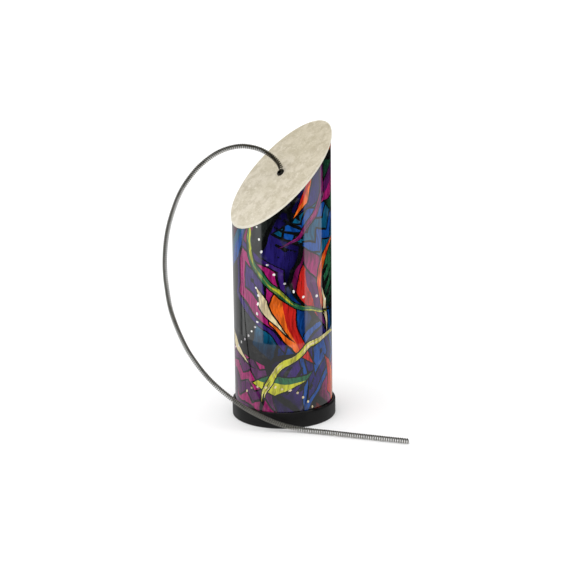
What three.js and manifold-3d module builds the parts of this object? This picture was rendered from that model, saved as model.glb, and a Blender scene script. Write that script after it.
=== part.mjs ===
// Spring drum: a fibre tube cut on the slant, a glued head, and a long coil spring hooked
// through an eyelet in the middle of the head. The player shakes the tube and the spring rumbles.
// Millimetres, +Z up. The origin is the middle of the foot ring's underside, on the table,
// and +X points to the tall side of the tube.

import * as THREE from 'three';
import { mergeVertices } from 'three/addons/utils/BufferGeometryUtils.js';
import Module from 'manifold-3d';

const wasm = await Module();
wasm.setup();

// Tube and the printed film round it
const TUBE_DIAMETER = 101.6;
const SHELL_WALL = 4;
const FILM_THICKNESS = 0.5;
const FILM_SEAM_GAP = 0.8;
const FILM_SEAM_ANGLE = 60;

// Head: its height is measured on the tube's axis, and its slant in degrees from level
const HEAD_HEIGHT = 255.8;
const HEAD_SLANT = 42.9;
const HEAD_THICKNESS = 0.5;
const HEAD_EDGE_ROUNDING = 0.3;
const SKIRT_WALL = 0.7;
const SKIRT_DROP = 2;
const BOND_THICKNESS = 0.8;

// Foot ring: a sleeve round the tube with a lip under the tube's end
const RING_WALL = 2.8;
const RING_HEIGHT = 17;
const RING_LIP_THICKNESS = 3;
const RING_TOP_FLAT = 0.6;
const RING_FOOT_ROUNDING = 1;

// Eyelet in the head, and its washer underneath
const EYELET_WALL = 0.4;
const EYELET_FLANGE_WIDTH = 0.5;
const EYELET_FLANGE_THICKNESS = 1.7;
const WASHER_WIDTH = 2.4;
const WASHER_THICKNESS = 0.6;

// Cross pin that the spring hooks round, and how far it passes the eyelet at each end
const PIN_DIAMETER = 1.2;
const PIN_OVERLAP = 1.5;
const PIN_CHAMFER = 0.2;

// Spring: the ribs in the photo make about two hundred left-handed turns. A hundred curls
// of this wire keep its outside diameter, its length and its ribbed look.
const SPRING_DIAMETER = 5.4;
const WIRE_DIAMETER = 1.2;
const CURLS = 100;
const NECK_LEAN = 35;
const NECK_RISE = 1.2;

// Clearances
const FIT_GAP = 0.3;
const HOOK_GAP = 0.3;
const NECK_GAP = 0.45;
const TABLE_GAP = 0.3;

// Facets
const TUBE_STEPS = 72;
const SMALL_STEPS = 32;
const EDGE_STEPS = 3;
const HOOK_STEPS = 8;
const STEPS_PER_CURL = 8;
const WIRE_SIDES = 5;
const LENGTH_SAMPLES = 4000;

// The arch of the spring, from the middle of the head
const ARCH_POINTS = [
  [-1.2, -1.5, 6.1],
  [-2.4, -0.8, 9.3],
  [-4.2, 0.5, 12.4],
  [-6.5, 2.1, 15.4],
  [-8.9, 4, 17.9],
  [-13.1, 7.7, 21.4],
  [-17.7, 11.9, 24.1],
  [-23.9, 17.3, 26.2],
  [-31.9, 23.4, 27.1],
  [-41.9, 30.4, 25.1],
  [-52.3, 36.9, 20.4],
  [-63.2, 43.1, 12],
  [-72.8, 47.3, 2.6],
  [-86.6, 52.3, -16.9],
  [-95.4, 55.1, -37.4],
  [-101.9, 55.9, -57.8],
  [-105.9, 55.1, -78.1],
  [-107.8, 53.1, -99.3],
  [-107.5, 50.1, -119.5],
  [-106.3, 45.1, -140.2],
  [-103.5, 36, -159.2],
  [-98.9, 23.9, -178.6],
  [-91, 8.9, -197.4],
];

// The tail of the spring, from the front of the foot ring. The third number is the height
// above where the spring lies on the table.
const TAIL_POINTS = [
  [-82.1, 50.6, 41.6],
  [-72, 36.8, 30],
  [-61.3, 24.8, 20.5],
  [-49.9, 14.6, 12.9],
  [-40, 7, 7.5],
  [-30, -1, 3.5],
  [-19, -10, 1],
  [-8, -20.5, 0],
  [5, -35, 0],
  [16.5, -48.5, 0],
  [27.5, -61, 0],
  [38.5, -73.5, 0],
  [49.5, -86, 0],
  [58, -95.5, 0],
];

// Sizes that follow from the ones above
const slant = THREE.MathUtils.degToRad(HEAD_SLANT);
const wrapRadius = TUBE_DIAMETER / 2;
const shellRadius = wrapRadius - FILM_THICKNESS - FIT_GAP;
const boreRadius = shellRadius - SHELL_WALL;
const skirtBore = wrapRadius + FIT_GAP;
const headRadius = skirtBore + SKIRT_WALL;
const ringBore = wrapRadius + FIT_GAP;
const ringRadius = ringBore + RING_WALL;
const ringTopRounding = RING_WALL - RING_TOP_FLAT;
const tubeFoot = RING_LIP_THICKNESS + FIT_GAP;

const wireRadius = WIRE_DIAMETER / 2;
const coilRadius = SPRING_DIAMETER / 2 - wireRadius;
const hookRadius = PIN_DIAMETER / 2 + HOOK_GAP + wireRadius;
const eyeletBore = Math.hypot(hookRadius + wireRadius, WIRE_DIAMETER) + NECK_GAP;
const eyeletRadius = eyeletBore + EYELET_WALL;
const headHole = eyeletRadius + FIT_GAP;
const flangeRadius = headHole + EYELET_FLANGE_WIDTH;
const washerBore = eyeletRadius + FIT_GAP;
const washerRadius = washerBore + WASHER_WIDTH;

// Levels in the stack at the head, measured square to it: the top of the head is zero
const flangeTop = FIT_GAP + EYELET_FLANGE_THICKNESS;
const headUnderside = -HEAD_THICKNESS;
const bondTop = headUnderside - FIT_GAP;
const bondUnderside = bondTop - BOND_THICKNESS;
const shellTop = bondUnderside - FIT_GAP;
const washerTop = headUnderside - FIT_GAP;
const washerUnderside = washerTop - WASHER_THICKNESS;
const pinLevel = washerUnderside - FIT_GAP - PIN_DIAMETER / 2;
const pinLength = 2 * (eyeletRadius + PIN_OVERLAP);

// Parts of the head's hardware are drawn with Z square to the head and X up its slope
const hardware = new THREE.Group();
hardware.position.set(0, 0, HEAD_HEIGHT);
hardware.rotation.y = -slant;
hardware.updateMatrix();

const drum = new THREE.Group();
drum.name = 'spring_drum';
drum.add(hardware);

function addPart(parent, name, geometry, look) {
  const mesh = new THREE.Mesh(geometry, new THREE.MeshStandardMaterial(look));
  mesh.name = name;
  parent.add(mesh);
  return mesh;
}

// Height over the tube's axis of a level that is measured square to the head
function axisHeight(level) {
  return HEAD_HEIGHT + level / Math.cos(slant);
}

// Turns a profile of [radius, height] points about Z
function turned(profile, steps) {
  const points = profile.map(([radius, height]) => new THREE.Vector2(radius, height));
  return new THREE.LatheGeometry(points, steps).rotateX(Math.PI / 2);
}

// A closed ring profile between two radii and two heights
function ringProfile(inner, outer, bottom, top) {
  return [[inner, bottom], [outer, bottom], [outer, top], [inner, top], [inner, bottom]];
}

// Tilts everything in the upper half of a piece to the slant of the head
function slantTop(geometry) {
  const position = geometry.getAttribute('position');
  const slope = Math.tan(slant);
  for (let i = 0; i < position.count; i += 1) {
    if (position.getZ(i) > HEAD_HEIGHT / 2) {
      position.setZ(i, position.getZ(i) + slope * position.getX(i));
    }
  }
  geometry.computeVertexNormals();
  return geometry;
}

// Points of a quarter round, turning left about its centre from a start angle in degrees
function quarterRound(centreRadius, centreHeight, size, startAngle) {
  const points = [];
  for (let i = 0; i <= EDGE_STEPS; i += 1) {
    const angle = THREE.MathUtils.degToRad(startAngle + (90 * i) / EDGE_STEPS);
    points.push([centreRadius + size * Math.cos(angle), centreHeight + size * Math.sin(angle)]);
  }
  return points;
}

function solidOf(geometry) {
  const bare = geometry.clone();
  bare.deleteAttribute('normal');
  bare.deleteAttribute('uv');
  const merged = mergeVertices(bare);
  const vertProperties = new Float32Array(merged.getAttribute('position').array);
  const triVerts = new Uint32Array(merged.index.array);
  return new wasm.Manifold(new wasm.Mesh({ numProp: 3, vertProperties, triVerts }));
}

function geometryOf(solid) {
  const mesh = solid.getMesh();
  const geometry = new THREE.BufferGeometry();
  geometry.setAttribute('position', new THREE.BufferAttribute(mesh.vertProperties, 3));
  geometry.setIndex(new THREE.BufferAttribute(mesh.triVerts, 1));
  geometry.computeVertexNormals();
  return geometry;
}

// Fibre tube, square at the foot and cut on the slant at the top
function makeShell() {
  const profile = ringProfile(boreRadius, shellRadius, tubeFoot, axisHeight(shellTop));
  return slantTop(turned(profile, TUBE_STEPS));
}

// Printed film, wrapped once round the shell with its two ends meeting at a narrow seam
function makeWrap() {
  const inner = shellRadius + FIT_GAP;
  const half = FILM_SEAM_GAP / 2 / wrapRadius;
  const start = THREE.MathUtils.degToRad(FILM_SEAM_ANGLE) + half;
  const end = start + 2 * Math.PI - 2 * half;
  const section = new THREE.Shape();
  section.absarc(0, 0, wrapRadius, start, end, false);
  section.absarc(0, 0, inner, end, start, true);
  section.closePath();
  const height = axisHeight(bondTop) - tubeFoot;
  const film = new THREE.ExtrudeGeometry(section, {
    depth: height, bevelEnabled: false, curveSegments: TUBE_STEPS,
  });
  return slantTop(film.translate(0, 0, tubeFoot));
}

// Head: a thin sheet with its edge turned down round the film, and a hole for the eyelet
function makeHead() {
  const top = axisHeight(0);
  const underside = axisHeight(headUnderside);
  const hem = axisHeight(-SKIRT_DROP);
  const profile = [
    [0, underside], [skirtBore, underside], [skirtBore, hem], [headRadius, hem],
    [headRadius, top - HEAD_EDGE_ROUNDING], [headRadius - HEAD_EDGE_ROUNDING, top], [0, top],
  ];
  const sheet = slantTop(turned(profile, TUBE_STEPS));
  const punchLength = 4 * (HEAD_THICKNESS + SKIRT_DROP);
  const punch = new THREE.CylinderGeometry(headHole, headHole, punchLength, SMALL_STEPS);
  punch.rotateX(Math.PI / 2).applyMatrix4(hardware.matrix);
  return geometryOf(solidOf(sheet).subtract(solidOf(punch)));
}

// Glue line between the shell's slanted rim and the head
function makeBond() {
  const profile = ringProfile(boreRadius, shellRadius, axisHeight(bondUnderside), axisHeight(bondTop));
  return slantTop(turned(profile, TUBE_STEPS));
}

// Foot ring with rounded outer edges
function makeFootRing() {
  const footEdge = ringRadius - RING_FOOT_ROUNDING;
  const topEdge = ringRadius - ringTopRounding;
  const profile = [
    [boreRadius, 0],
    ...quarterRound(footEdge, RING_FOOT_ROUNDING, RING_FOOT_ROUNDING, -90),
    ...quarterRound(topEdge, RING_HEIGHT - ringTopRounding, ringTopRounding, 0),
    [ringBore, RING_HEIGHT],
    [ringBore, RING_LIP_THICKNESS],
    [boreRadius, RING_LIP_THICKNESS],
    [boreRadius, 0],
  ];
  return turned(profile, TUBE_STEPS);
}

// Eyelet: a flange on the head and a thin barrel down through the washer
function makeEyelet() {
  const corner = EYELET_FLANGE_THICKNESS / 2;
  const profile = [
    [eyeletBore, washerUnderside], [eyeletRadius, washerUnderside], [eyeletRadius, FIT_GAP],
    [flangeRadius, FIT_GAP], [flangeRadius, flangeTop - corner], [flangeRadius - corner, flangeTop],
    [eyeletBore, flangeTop], [eyeletBore, washerUnderside],
  ];
  return turned(profile, SMALL_STEPS);
}

function makeWasher() {
  return turned(ringProfile(washerBore, washerRadius, washerUnderside, washerTop), SMALL_STEPS);
}

// Cross pin under the eyelet, lying up and down the slope
function makePin() {
  const radius = PIN_DIAMETER / 2;
  const half = pinLength / 2;
  const profile = [
    [0, -half], [radius - PIN_CHAMFER, -half], [radius, -half + PIN_CHAMFER],
    [radius, half - PIN_CHAMFER], [radius - PIN_CHAMFER, half], [0, half],
  ];
  return turned(profile, SMALL_STEPS).rotateY(Math.PI / 2).translate(0, 0, pinLevel);
}

// The middle line of the spring: neck, arch and tail on one smooth curve
function springRoute(neckFoot, neckTop) {
  const lying = SPRING_DIAMETER / 2 + TABLE_GAP;
  const arch = ARCH_POINTS.map(([x, y, z]) => new THREE.Vector3(x, y, z + HEAD_HEIGHT));
  const tail = TAIL_POINTS.map(([x, y, z]) => new THREE.Vector3(x, y - ringRadius, z + lying));
  const route = new THREE.CatmullRomCurve3([neckFoot, neckTop, ...arch, ...tail], false, 'centripetal');
  route.arcLengthDivisions = LENGTH_SAMPLES;
  return route;
}

// The middle line of the wire: a hook round the pin, the neck through the eyelet, then the curls
function wireLine() {
  const lean = THREE.MathUtils.degToRad(NECK_LEAN);
  const along = new THREE.Vector3(Math.sin(lean), 0, Math.cos(lean));
  const middle = (flangeTop + washerUnderside) / 2;
  const hookCentre = new THREE.Vector3(-Math.tan(lean) * (middle - pinLevel), 0, pinLevel);
  const hookDepth = hookRadius / Math.cos(lean);
  const points = [];
  const place = (side, rise) => {
    const point = hookCentre.clone().addScaledVector(along, rise);
    point.y += side;
    return point.applyMatrix4(hardware.matrix);
  };

  points.push(place(hookRadius, WIRE_DIAMETER));
  for (let i = 0; i < HOOK_STEPS; i += 1) {
    const angle = (Math.PI * i) / HOOK_STEPS;
    points.push(place(hookRadius * Math.cos(angle), -hookDepth * Math.sin(angle)));
  }

  const neckLength = (flangeTop + NECK_RISE - pinLevel) / Math.cos(lean);
  const route = springRoute(place(-hookRadius, 0), place(-hookRadius, neckLength));
  const length = route.getLength();
  const curlLength = (length - neckLength) / CURLS;
  const steps = Math.round((length / curlLength) * STEPS_PER_CURL);
  const frames = route.computeFrenetFrames(steps);
  for (let i = 0; i <= steps; i += 1) {
    const turns = Math.max(0, (length * i) / steps - neckLength) / curlLength;
    const radius = coilRadius * THREE.MathUtils.smoothstep(turns, 0, 1);
    const point = route.getPointAt(i / steps);
    point.addScaledVector(frames.normals[i], radius * Math.cos(2 * Math.PI * turns));
    point.addScaledVector(frames.binormals[i], -radius * Math.sin(2 * Math.PI * turns));
    points.push(point);
  }

  const last = points[points.length - 1];
  const tip = last.clone().sub(points[points.length - 2]).setLength(WIRE_DIAMETER).add(last);
  points.push(tip);
  console.log(`spring: ${length.toFixed(0)} mm along its middle, ${points.length} points on its wire`);
  return points;
}

// Least gap between two stretches of the wire that lie more than half a curl apart
function leastGap(points) {
  const apart = STEPS_PER_CURL / 2;
  let least = Infinity;
  for (let i = 0; i < points.length; i += 1) {
    for (let j = i + apart + 1; j < points.length; j += 1) {
      least = Math.min(least, points[i].distanceTo(points[j]));
    }
  }
  return least - WIRE_DIAMETER;
}

// A closed tube of few sides along a line of points
function tubeAlong(points, radius, sides) {
  const vertices = [];
  const index = [];
  const normal = new THREE.Vector3(0, 1, 0);
  const binormal = new THREE.Vector3();
  const tangent = new THREE.Vector3();
  points.forEach((point, i) => {
    const before = points[Math.max(i - 1, 0)];
    const after = points[Math.min(i + 1, points.length - 1)];
    tangent.subVectors(after, before).normalize();
    if (i === 0) {
      normal.set(tangent.y, tangent.z, tangent.x);
    }
    normal.addScaledVector(tangent, -normal.dot(tangent)).normalize();
    binormal.crossVectors(tangent, normal);
    for (let side = 0; side < sides; side += 1) {
      const angle = (2 * Math.PI * side) / sides;
      const corner = point.clone();
      corner.addScaledVector(normal, radius * Math.cos(angle));
      corner.addScaledVector(binormal, radius * Math.sin(angle));
      vertices.push(corner.x, corner.y, corner.z);
    }
  });
  for (let ring = 0; ring < points.length - 1; ring += 1) {
    for (let side = 0; side < sides; side += 1) {
      const a = ring * sides + side;
      const b = ring * sides + ((side + 1) % sides);
      index.push(a, b, b + sides, a, b + sides, a + sides);
    }
  }
  const lastRing = (points.length - 1) * sides;
  for (let side = 1; side < sides - 1; side += 1) {
    index.push(0, side + 1, side);
    index.push(lastRing, lastRing + side, lastRing + side + 1);
  }
  const geometry = new THREE.BufferGeometry();
  geometry.setAttribute('position', new THREE.Float32BufferAttribute(vertices, 3));
  geometry.setIndex(index);
  geometry.computeVertexNormals();
  return geometry;
}

function makeSpring() {
  const line = wireLine();
  console.log(`least gap of the spring to itself: ${leastGap(line).toFixed(2)} mm`);
  return tubeAlong(line, wireRadius, WIRE_SIDES);
}

addPart(drum, 'shell', makeShell(), { color: 0x8a6a48, roughness: 0.85 });
addPart(drum, 'printed_wrap', makeWrap(), { color: 0x55296b, roughness: 0.25 });
addPart(drum, 'drumhead', makeHead(), { color: 0xd6ccb6, roughness: 0.55 });
addPart(drum, 'head_bond', makeBond(), { color: 0xc8b078, roughness: 0.4 });
addPart(drum, 'foot_ring', makeFootRing(), { color: 0x1b1b1c, roughness: 0.6 });
addPart(hardware, 'eyelet', makeEyelet(), { color: 0x151514, roughness: 0.35 });
addPart(hardware, 'eyelet_washer', makeWasher(), { color: 0x9a9a98, roughness: 0.4, metalness: 1 });
addPart(hardware, 'spring_pin', makePin(), { color: 0x8c8c88, roughness: 0.35, metalness: 1 });
addPart(drum, 'spring', makeSpring(), { color: 0x56574f, roughness: 0.4, metalness: 1 });

export default drum;
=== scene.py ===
# %% [markdown]
# # A spring drum
# The object is a stiff tube, cut on the slant at the top and closed there by a thin head. A long
# coil spring hangs from an eyelet in the middle of the head. Shake the tube and the spring rumbles.
# The CAD model is loaded first and never moved: it says where every piece is and what moves.
# Blender then adds the finished surface of each piece on top of it.

# %% Load the CAD model
import math

import bmesh
import bpy
import numpy as np
from mathutils import Matrix, Vector


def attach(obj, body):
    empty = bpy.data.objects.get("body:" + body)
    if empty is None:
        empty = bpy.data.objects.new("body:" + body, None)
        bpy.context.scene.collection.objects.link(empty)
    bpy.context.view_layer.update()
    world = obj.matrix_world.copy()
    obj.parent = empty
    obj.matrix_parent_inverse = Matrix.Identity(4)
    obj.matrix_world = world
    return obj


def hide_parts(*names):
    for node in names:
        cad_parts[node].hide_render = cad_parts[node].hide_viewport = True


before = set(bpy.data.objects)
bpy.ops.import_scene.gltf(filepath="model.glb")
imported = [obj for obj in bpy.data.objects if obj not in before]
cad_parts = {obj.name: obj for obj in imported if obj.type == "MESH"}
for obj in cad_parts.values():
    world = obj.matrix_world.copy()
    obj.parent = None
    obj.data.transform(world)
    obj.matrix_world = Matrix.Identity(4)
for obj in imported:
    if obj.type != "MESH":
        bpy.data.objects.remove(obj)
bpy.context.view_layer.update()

# %% [markdown]
# ## Camera
# A photo of a known round thing gives the camera away: the rim of the foot and the rim of the head
# are ellipses, and how flat they are tells how high the camera stood. Here it looks down by 16
# degrees from almost two metres with a long lens, so the tube hardly narrows towards its foot.
# The picture also leans by a little less than one degree, which goes into the camera's own turn.

# %% Camera
CAMERA_TARGET = Vector((0, 0, 0.130))
CAMERA_DISTANCE = 1.943
CAMERA_ELEVATION = math.radians(16.0)
CAMERA_AZIMUTH = math.radians(-29.4)
CAMERA_ROLL = math.radians(-0.765)
LENS_LENGTH = 119.05
SENSOR_WIDTH = 36
LENS_SHIFT = (0.0043, 0.0127)
FAR_CLIP = 50

flat_reach = math.cos(CAMERA_ELEVATION)
backwards = Vector((
    math.sin(CAMERA_AZIMUTH) * flat_reach,
    -math.cos(CAMERA_AZIMUTH) * flat_reach,
    math.sin(CAMERA_ELEVATION),
))
bpy.ops.object.camera_add(location=CAMERA_TARGET + backwards * CAMERA_DISTANCE)
camera = bpy.context.object
camera.name = "photo_camera"
level_turn = backwards.to_track_quat("Z", "Y").to_matrix()
camera.rotation_euler = (level_turn @ Matrix.Rotation(CAMERA_ROLL, 3, "Z")).to_euler()
camera.data.lens = LENS_LENGTH
camera.data.sensor_width = SENSOR_WIDTH
camera.data.shift_x, camera.data.shift_y = LENS_SHIFT
camera.data.clip_end = FAR_CLIP
bpy.context.scene.camera = camera
print("camera at", tuple(round(value, 3) for value in camera.location))

# %% [markdown]
# ## Sizes
# Every piece below repeats the sizes of the CAD drawing, in metres. Sizes at the head are measured
# square to it, with zero on its upper face, so one small matrix puts all of the head's hardware
# in place: its Z axis stands square to the head and its X axis runs up the slope.

# %% Sizes that several pieces share
MM = 0.001
FILM_RADIUS = 50.8 * MM
SHELL_RADIUS = 50.0 * MM
BORE_RADIUS = 46.0 * MM
TUBE_FOOT = 3.3 * MM
HEAD_HEIGHT = 255.8 * MM
HEAD_SLANT = math.radians(42.9)
HEAD_UNDERSIDE = -0.5 * MM
BOND_TOP = -0.8 * MM
BOND_UNDERSIDE = -1.6 * MM
SHELL_TOP = -1.9 * MM
FLANGE_TOP = 2.0 * MM
WASHER_UNDERSIDE = -1.4 * MM
PIN_LEVEL = -2.3 * MM

head_centre = Vector((0, 0, HEAD_HEIGHT))
head_normal = Vector((-math.sin(HEAD_SLANT), 0, math.cos(HEAD_SLANT)))
head_frame = Matrix.Translation(head_centre) @ Matrix.Rotation(-HEAD_SLANT, 4, "Y")
print("head stands square to", tuple(round(value, 3) for value in head_normal))

# %% [markdown]
# ## Spring: its route
# The spring is wound steel wire. It leaves the eyelet, arches over under its own weight, comes
# down in front of the foot and lies on the table to a cut end. First comes its middle line: one
# smooth curve through given points, the same points as in the CAD drawing. The curve is a
# Catmull-Rom spline, which passes through each of its points and never overshoots much between.

# %% Points of the route, in millimetres
ARCH_POINTS = [
    (-1.2, -1.5, 6.1), (-2.4, -0.8, 9.3), (-4.2, 0.5, 12.4), (-6.5, 2.1, 15.4), (-8.9, 4, 17.9),
    (-13.1, 7.7, 21.4), (-17.7, 11.9, 24.1), (-23.9, 17.3, 26.2), (-31.9, 23.4, 27.1),
    (-41.9, 30.4, 25.1), (-52.3, 36.9, 20.4), (-63.2, 43.1, 12), (-72.8, 47.3, 2.6),
    (-86.6, 52.3, -16.9), (-95.4, 55.1, -37.4), (-101.9, 55.9, -57.8), (-105.9, 55.1, -78.1),
    (-107.8, 53.1, -99.3), (-107.5, 50.1, -119.5), (-106.3, 45.1, -140.2), (-103.5, 36, -159.2),
    (-98.9, 23.9, -178.6), (-91, 8.9, -197.4),
]
TAIL_POINTS = [
    (-82.1, 50.6, 41.6), (-72, 36.8, 30), (-61.3, 24.8, 20.5), (-49.9, 14.6, 12.9), (-40, 7, 7.5),
    (-30, -1, 3.5), (-19, -10, 1), (-8, -20.5, 0), (5, -35, 0), (16.5, -48.5, 0),
    (27.5, -61, 0), (38.5, -73.5, 0), (49.5, -86, 0), (58, -95.5, 0),
]
TAIL_START = Vector((0, -53.9, 3.0)) * MM
HOOK_RADIUS = 1.5 * MM
NECK_LEAN = math.radians(35)
NECK_RISE = 1.2 * MM

neck_direction = Vector((math.sin(NECK_LEAN), 0, math.cos(NECK_LEAN)))
hook_shift = -math.tan(NECK_LEAN) * ((FLANGE_TOP + WASHER_UNDERSIDE) / 2 - PIN_LEVEL)
hook_centre = Vector((hook_shift, 0, PIN_LEVEL))
neck_length = (FLANGE_TOP + NECK_RISE - PIN_LEVEL) / math.cos(NECK_LEAN)


def hook_place(side, rise):
    return head_frame @ (hook_centre + neck_direction * rise + Vector((0, side, 0)))


route_points = [hook_place(-HOOK_RADIUS, 0), hook_place(-HOOK_RADIUS, neck_length)]
route_points += [head_centre + Vector(point) * MM for point in ARCH_POINTS]
route_points += [TAIL_START + Vector(point) * MM for point in TAIL_POINTS]
print(len(route_points), "points on the route")


# %% Smooth curve through the points
STEPS_BETWEEN = 60


def smooth_line(points):
    spots = [np.array(point) for point in points]
    spots = [2 * spots[0] - spots[1], *spots, 2 * spots[-1] - spots[-2]]
    line = []
    for before, start, end, after in zip(spots, spots[1:], spots[2:], spots[3:]):
        lead, span, trail = (
            np.linalg.norm(b - a) ** 0.5 for a, b in ((before, start), (start, end), (end, after))
        )
        leave = (start - before) / lead - (end - before) / (lead + span) + (end - start) / span
        arrive = (end - start) / span - (after - start) / (span + trail) + (after - end) / trail
        for t in np.arange(STEPS_BETWEEN) / STEPS_BETWEEN:
            spot = (2 * t**3 - 3 * t**2 + 1) * start + (3 * t**2 - 2 * t**3) * end
            spot = spot + (t**3 - 2 * t**2 + t) * span * leave + (t**3 - t**2) * span * arrive
            line.append(spot)
    line.append(spots[-2])
    return np.array(line)


def distances(line):
    return np.concatenate([[0], np.cumsum(np.linalg.norm(np.diff(line, axis=0), axis=1))])


def resample(line, where):
    along = distances(line)
    return np.stack([np.interp(where, along, line[:, axis]) for axis in range(3)], axis=1)


route = smooth_line(route_points)
spring_length = distances(route)[-1]
print("spring:", round(spring_length * 1000), "mm along its middle")

# %% [markdown]
# ## Spring: its wire
# A curve with a bevel would give a plain rope. The real spring is a wire wound left-handed in more
# than two hundred turns, and light catches on every one, so the wire itself is modelled. A frame that
# never twists is carried along the route, the wire circles the route inside that frame, and a tube of
# eight sides follows the wire. The turns lie closer where they leave the eyelet, and a little wider
# apart on the table. Below the head the wire ends in a hook round the cross pin. It is thinner there and
# in the neck, so that it clears the eyelet when the spring swings.

# %% Wire line
SPRING_DIAMETER = 5.4 * MM
WIRE_DIAMETER = 1.45 * MM
NECK_WIRE_DIAMETER = 1.0 * MM
COIL_PITCH = 2.1 * MM
TAIL_PITCH = 2.35 * MM
TAIL_SPAN = (400 * MM, 450 * MM)
STEPS_PER_TURN = 18
HOOK_STEPS = 16
BARE_NECK = -0.4 * MM
OPENING_TURNS = 0.8
THICKENING_START = 0.5
HOOK_END_RISE = 2.5 * MM
FIRST_SIDE = (0.3, 1.0, 0.2)
NECK_EXTRA_TURNS = 1.0
NECK_CROWDING = 12 * MM


def carried_frames(line):
    tangents = np.gradient(line, axis=0)
    tangents /= np.linalg.norm(tangents, axis=1)[:, None]
    normals = np.zeros_like(line)
    normal = np.cross(tangents[0], FIRST_SIDE)
    for i, tangent in enumerate(tangents):
        normal = normal - tangent * normal.dot(tangent)
        normal = normal / np.linalg.norm(normal)
        normals[i] = normal
    return normals, np.cross(tangents, normals)


coil_radius = (SPRING_DIAMETER - WIRE_DIAMETER) / 2
coil_start = neck_length + BARE_NECK
station_step = COIL_PITCH / STEPS_PER_TURN
stations = np.arange(0, spring_length, station_step)
middle = resample(route, stations)
normals, sides = carried_frames(middle)
coiled = np.maximum(0, stations - coil_start)
pitches = np.interp(stations, TAIL_SPAN, (COIL_PITCH, TAIL_PITCH))
turns = np.cumsum((coiled > 0) * station_step / pitches)
turns = turns + NECK_EXTRA_TURNS * (1 - np.exp(-coiled / NECK_CROWDING))
opening = np.clip(turns / OPENING_TURNS, 0, 1)
reach = coil_radius * opening**2 * (3 - 2 * opening)
swing = -2 * np.pi * turns
coil = middle + normals * (reach * np.cos(swing))[:, None] + sides * (reach * np.sin(swing))[:, None]

hook = [hook_place(HOOK_RADIUS, HOOK_END_RISE)]
for angle in np.arange(HOOK_STEPS) * math.pi / HOOK_STEPS:
    depth = -HOOK_RADIUS / math.cos(NECK_LEAN) * math.sin(angle)
    hook.append(hook_place(HOOK_RADIUS * math.cos(angle), depth))
wire_line = np.concatenate([np.array(hook), coil])
swell = np.concatenate([np.zeros(len(hook)), np.clip(turns - THICKENING_START, 0, 1)])
wire_radii = (NECK_WIRE_DIAMETER + (WIRE_DIAMETER - NECK_WIRE_DIAMETER) * swell) / 2
print("wire:", round(turns[-1]), "turns,", round(distances(wire_line)[-1], 2), "m of wire")

# %% Wire mesh
WIRE_SIDES = 8


def tube_mesh(name, line, radii, side_count):
    normals, sides = carried_frames(line)
    angles = 2 * np.pi * np.arange(side_count) / side_count
    rings = normals[:, None] * np.cos(angles)[:, None] + sides[:, None] * np.sin(angles)[:, None]
    corners = (line[:, None] + radii[:, None, None] * rings).reshape(-1, 3)
    faces = []
    for ring in range(len(line) - 1):
        for side in range(side_count):
            a = ring * side_count + side
            b = ring * side_count + (side + 1) % side_count
            faces.append((a, b, b + side_count, a + side_count))
    last = (len(line) - 1) * side_count
    faces.append(tuple(reversed(range(side_count))))
    faces.append(tuple(range(last, last + side_count)))
    mesh = bpy.data.meshes.new(name)
    mesh.from_pydata(corners.tolist(), [], faces)
    piece = bpy.data.objects.new(name, mesh)
    bpy.context.collection.objects.link(piece)
    return piece


coil_spring = tube_mesh("coil_spring", wire_line, wire_radii, WIRE_SIDES)
print("coil_spring:", len(coil_spring.data.polygons), "faces")

# %% Which side of the wire faces out of the coil
outwards = np.zeros_like(wire_line)
outwards[len(hook):] = normals * np.cos(swing)[:, None] + sides * np.sin(swing)[:, None]
corners = np.array([vert.co for vert in coil_spring.data.vertices]).reshape(-1, WIRE_SIDES, 3)
facing = ((corners - wire_line[:, None]) * outwards[:, None]).sum(axis=2) / wire_radii[:, None]
crown_values = coil_spring.data.attributes.new("crown", "FLOAT", "POINT")
crown_values.data.foreach_set("value", facing.astype(np.float32).ravel())
print("crown runs from", round(float(facing.min()), 2), "to", round(float(facing.max()), 2))


# %% [markdown]
# ## Helpers for modelling by operators
# Operators work on whatever is selected. These helpers clear the selection before a new piece is
# added, pick corners, edges or faces by where they lie, and finish a piece: smooth shading up to
# a crease angle, its material, the CAD body that it rides on and the CAD node that it stands for.

# %% Helpers
SMOOTH_ANGLE = math.radians(35)
PICK_MODES = {"verts": "VERT", "edges": "EDGE", "faces": "FACE"}


def fresh_start():
    bpy.ops.object.select_all(action="DESELECT")


def named(name):
    piece = bpy.context.object
    piece.name = name
    piece.data.name = name
    return piece


def settled(name):
    bpy.ops.object.transform_apply(location=True, rotation=True, scale=True)
    return named(name)


def select_everything():
    bpy.ops.mesh.select_all(action="SELECT")


def edit():
    bpy.ops.object.mode_set(mode="EDIT")
    select_everything()


def leave_edit():
    bpy.ops.object.mode_set(mode="OBJECT")


def middle_of(item):
    if isinstance(item, bmesh.types.BMVert):
        return item.co
    return sum((vert.co for vert in item.verts), Vector()) / len(item.verts)


def pick(kind, test):
    bpy.ops.mesh.select_mode(type=PICK_MODES[kind])
    bpy.ops.mesh.select_all(action="DESELECT")
    mesh = bpy.context.object.data
    shape = bmesh.from_edit_mesh(mesh)
    for item in getattr(shape, kind):
        item.select_set(bool(test(middle_of(item))))
    shape.select_flush_mode()
    bmesh.update_edit_mesh(mesh)


def pick_near(kind, places, tolerance=0.02 * MM):
    spots = [Vector(place) for place in places]
    pick(kind, lambda at: any((at - spot).length < tolerance for spot in spots))


def apply_modifier(piece, kind, **settings):
    modifier = piece.modifiers.new(kind.title(), kind)
    for name, value in settings.items():
        setattr(modifier, name, value)
    bpy.context.view_layer.objects.active = piece
    bpy.ops.object.modifier_apply(modifier=modifier.name)


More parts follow.
